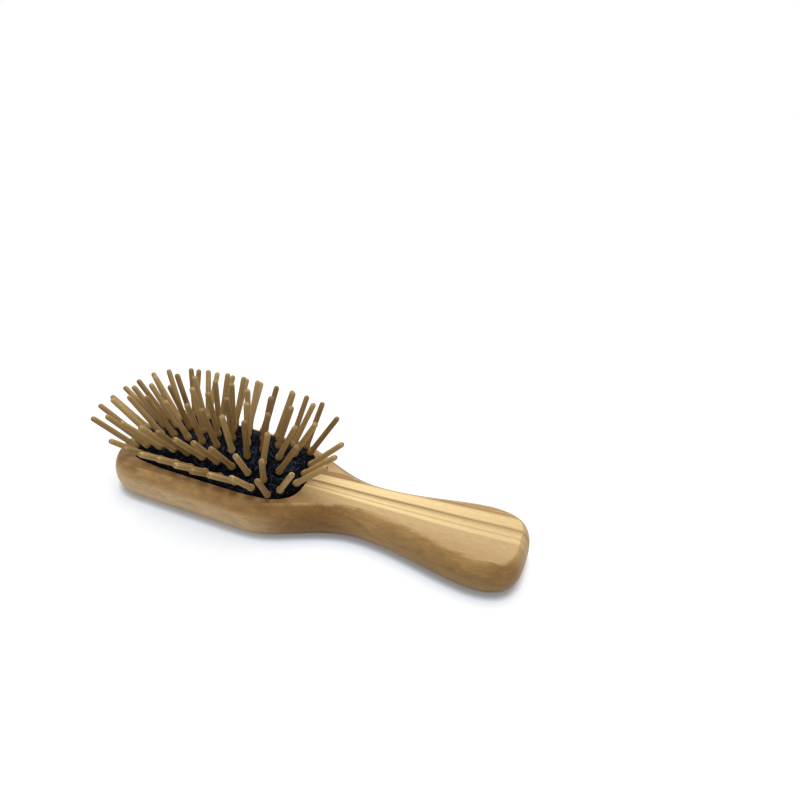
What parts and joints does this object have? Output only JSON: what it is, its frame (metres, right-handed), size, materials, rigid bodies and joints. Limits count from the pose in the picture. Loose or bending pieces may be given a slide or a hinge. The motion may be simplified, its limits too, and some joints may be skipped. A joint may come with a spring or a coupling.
{
  "type": "pin brush",
  "caption": "Small wooden pet brush with a waisted handle, a domed black rubber cushion in the head and staggered wooden pins that lean outwards.",
  "frame": {"origin": "middle of the flat back that the brush lies on, halfway along its length", "axes": "+X along the brush towards the end of the handle, +Y across it, +Z out of the cushion, the way the pins point"},
  "size_m": [0.1797, 0.0582, 0.0454],
  "materials": {
    "olive_wood": "satin",
    "black_rubber": "matte",
    "pin_wood": "satin"
  },
  "bodies": {
    "root": {"brush_body": "olive_wood", "cushion": "black_rubber", "pins_outer_ring": "pin_wood", "pins_row_1": "pin_wood", "pins_row_2": "pin_wood", "pins_row_3": "pin_wood", "pins_row_4": "pin_wood", "pins_row_5": "pin_wood"}
  },
  "joints": []
}
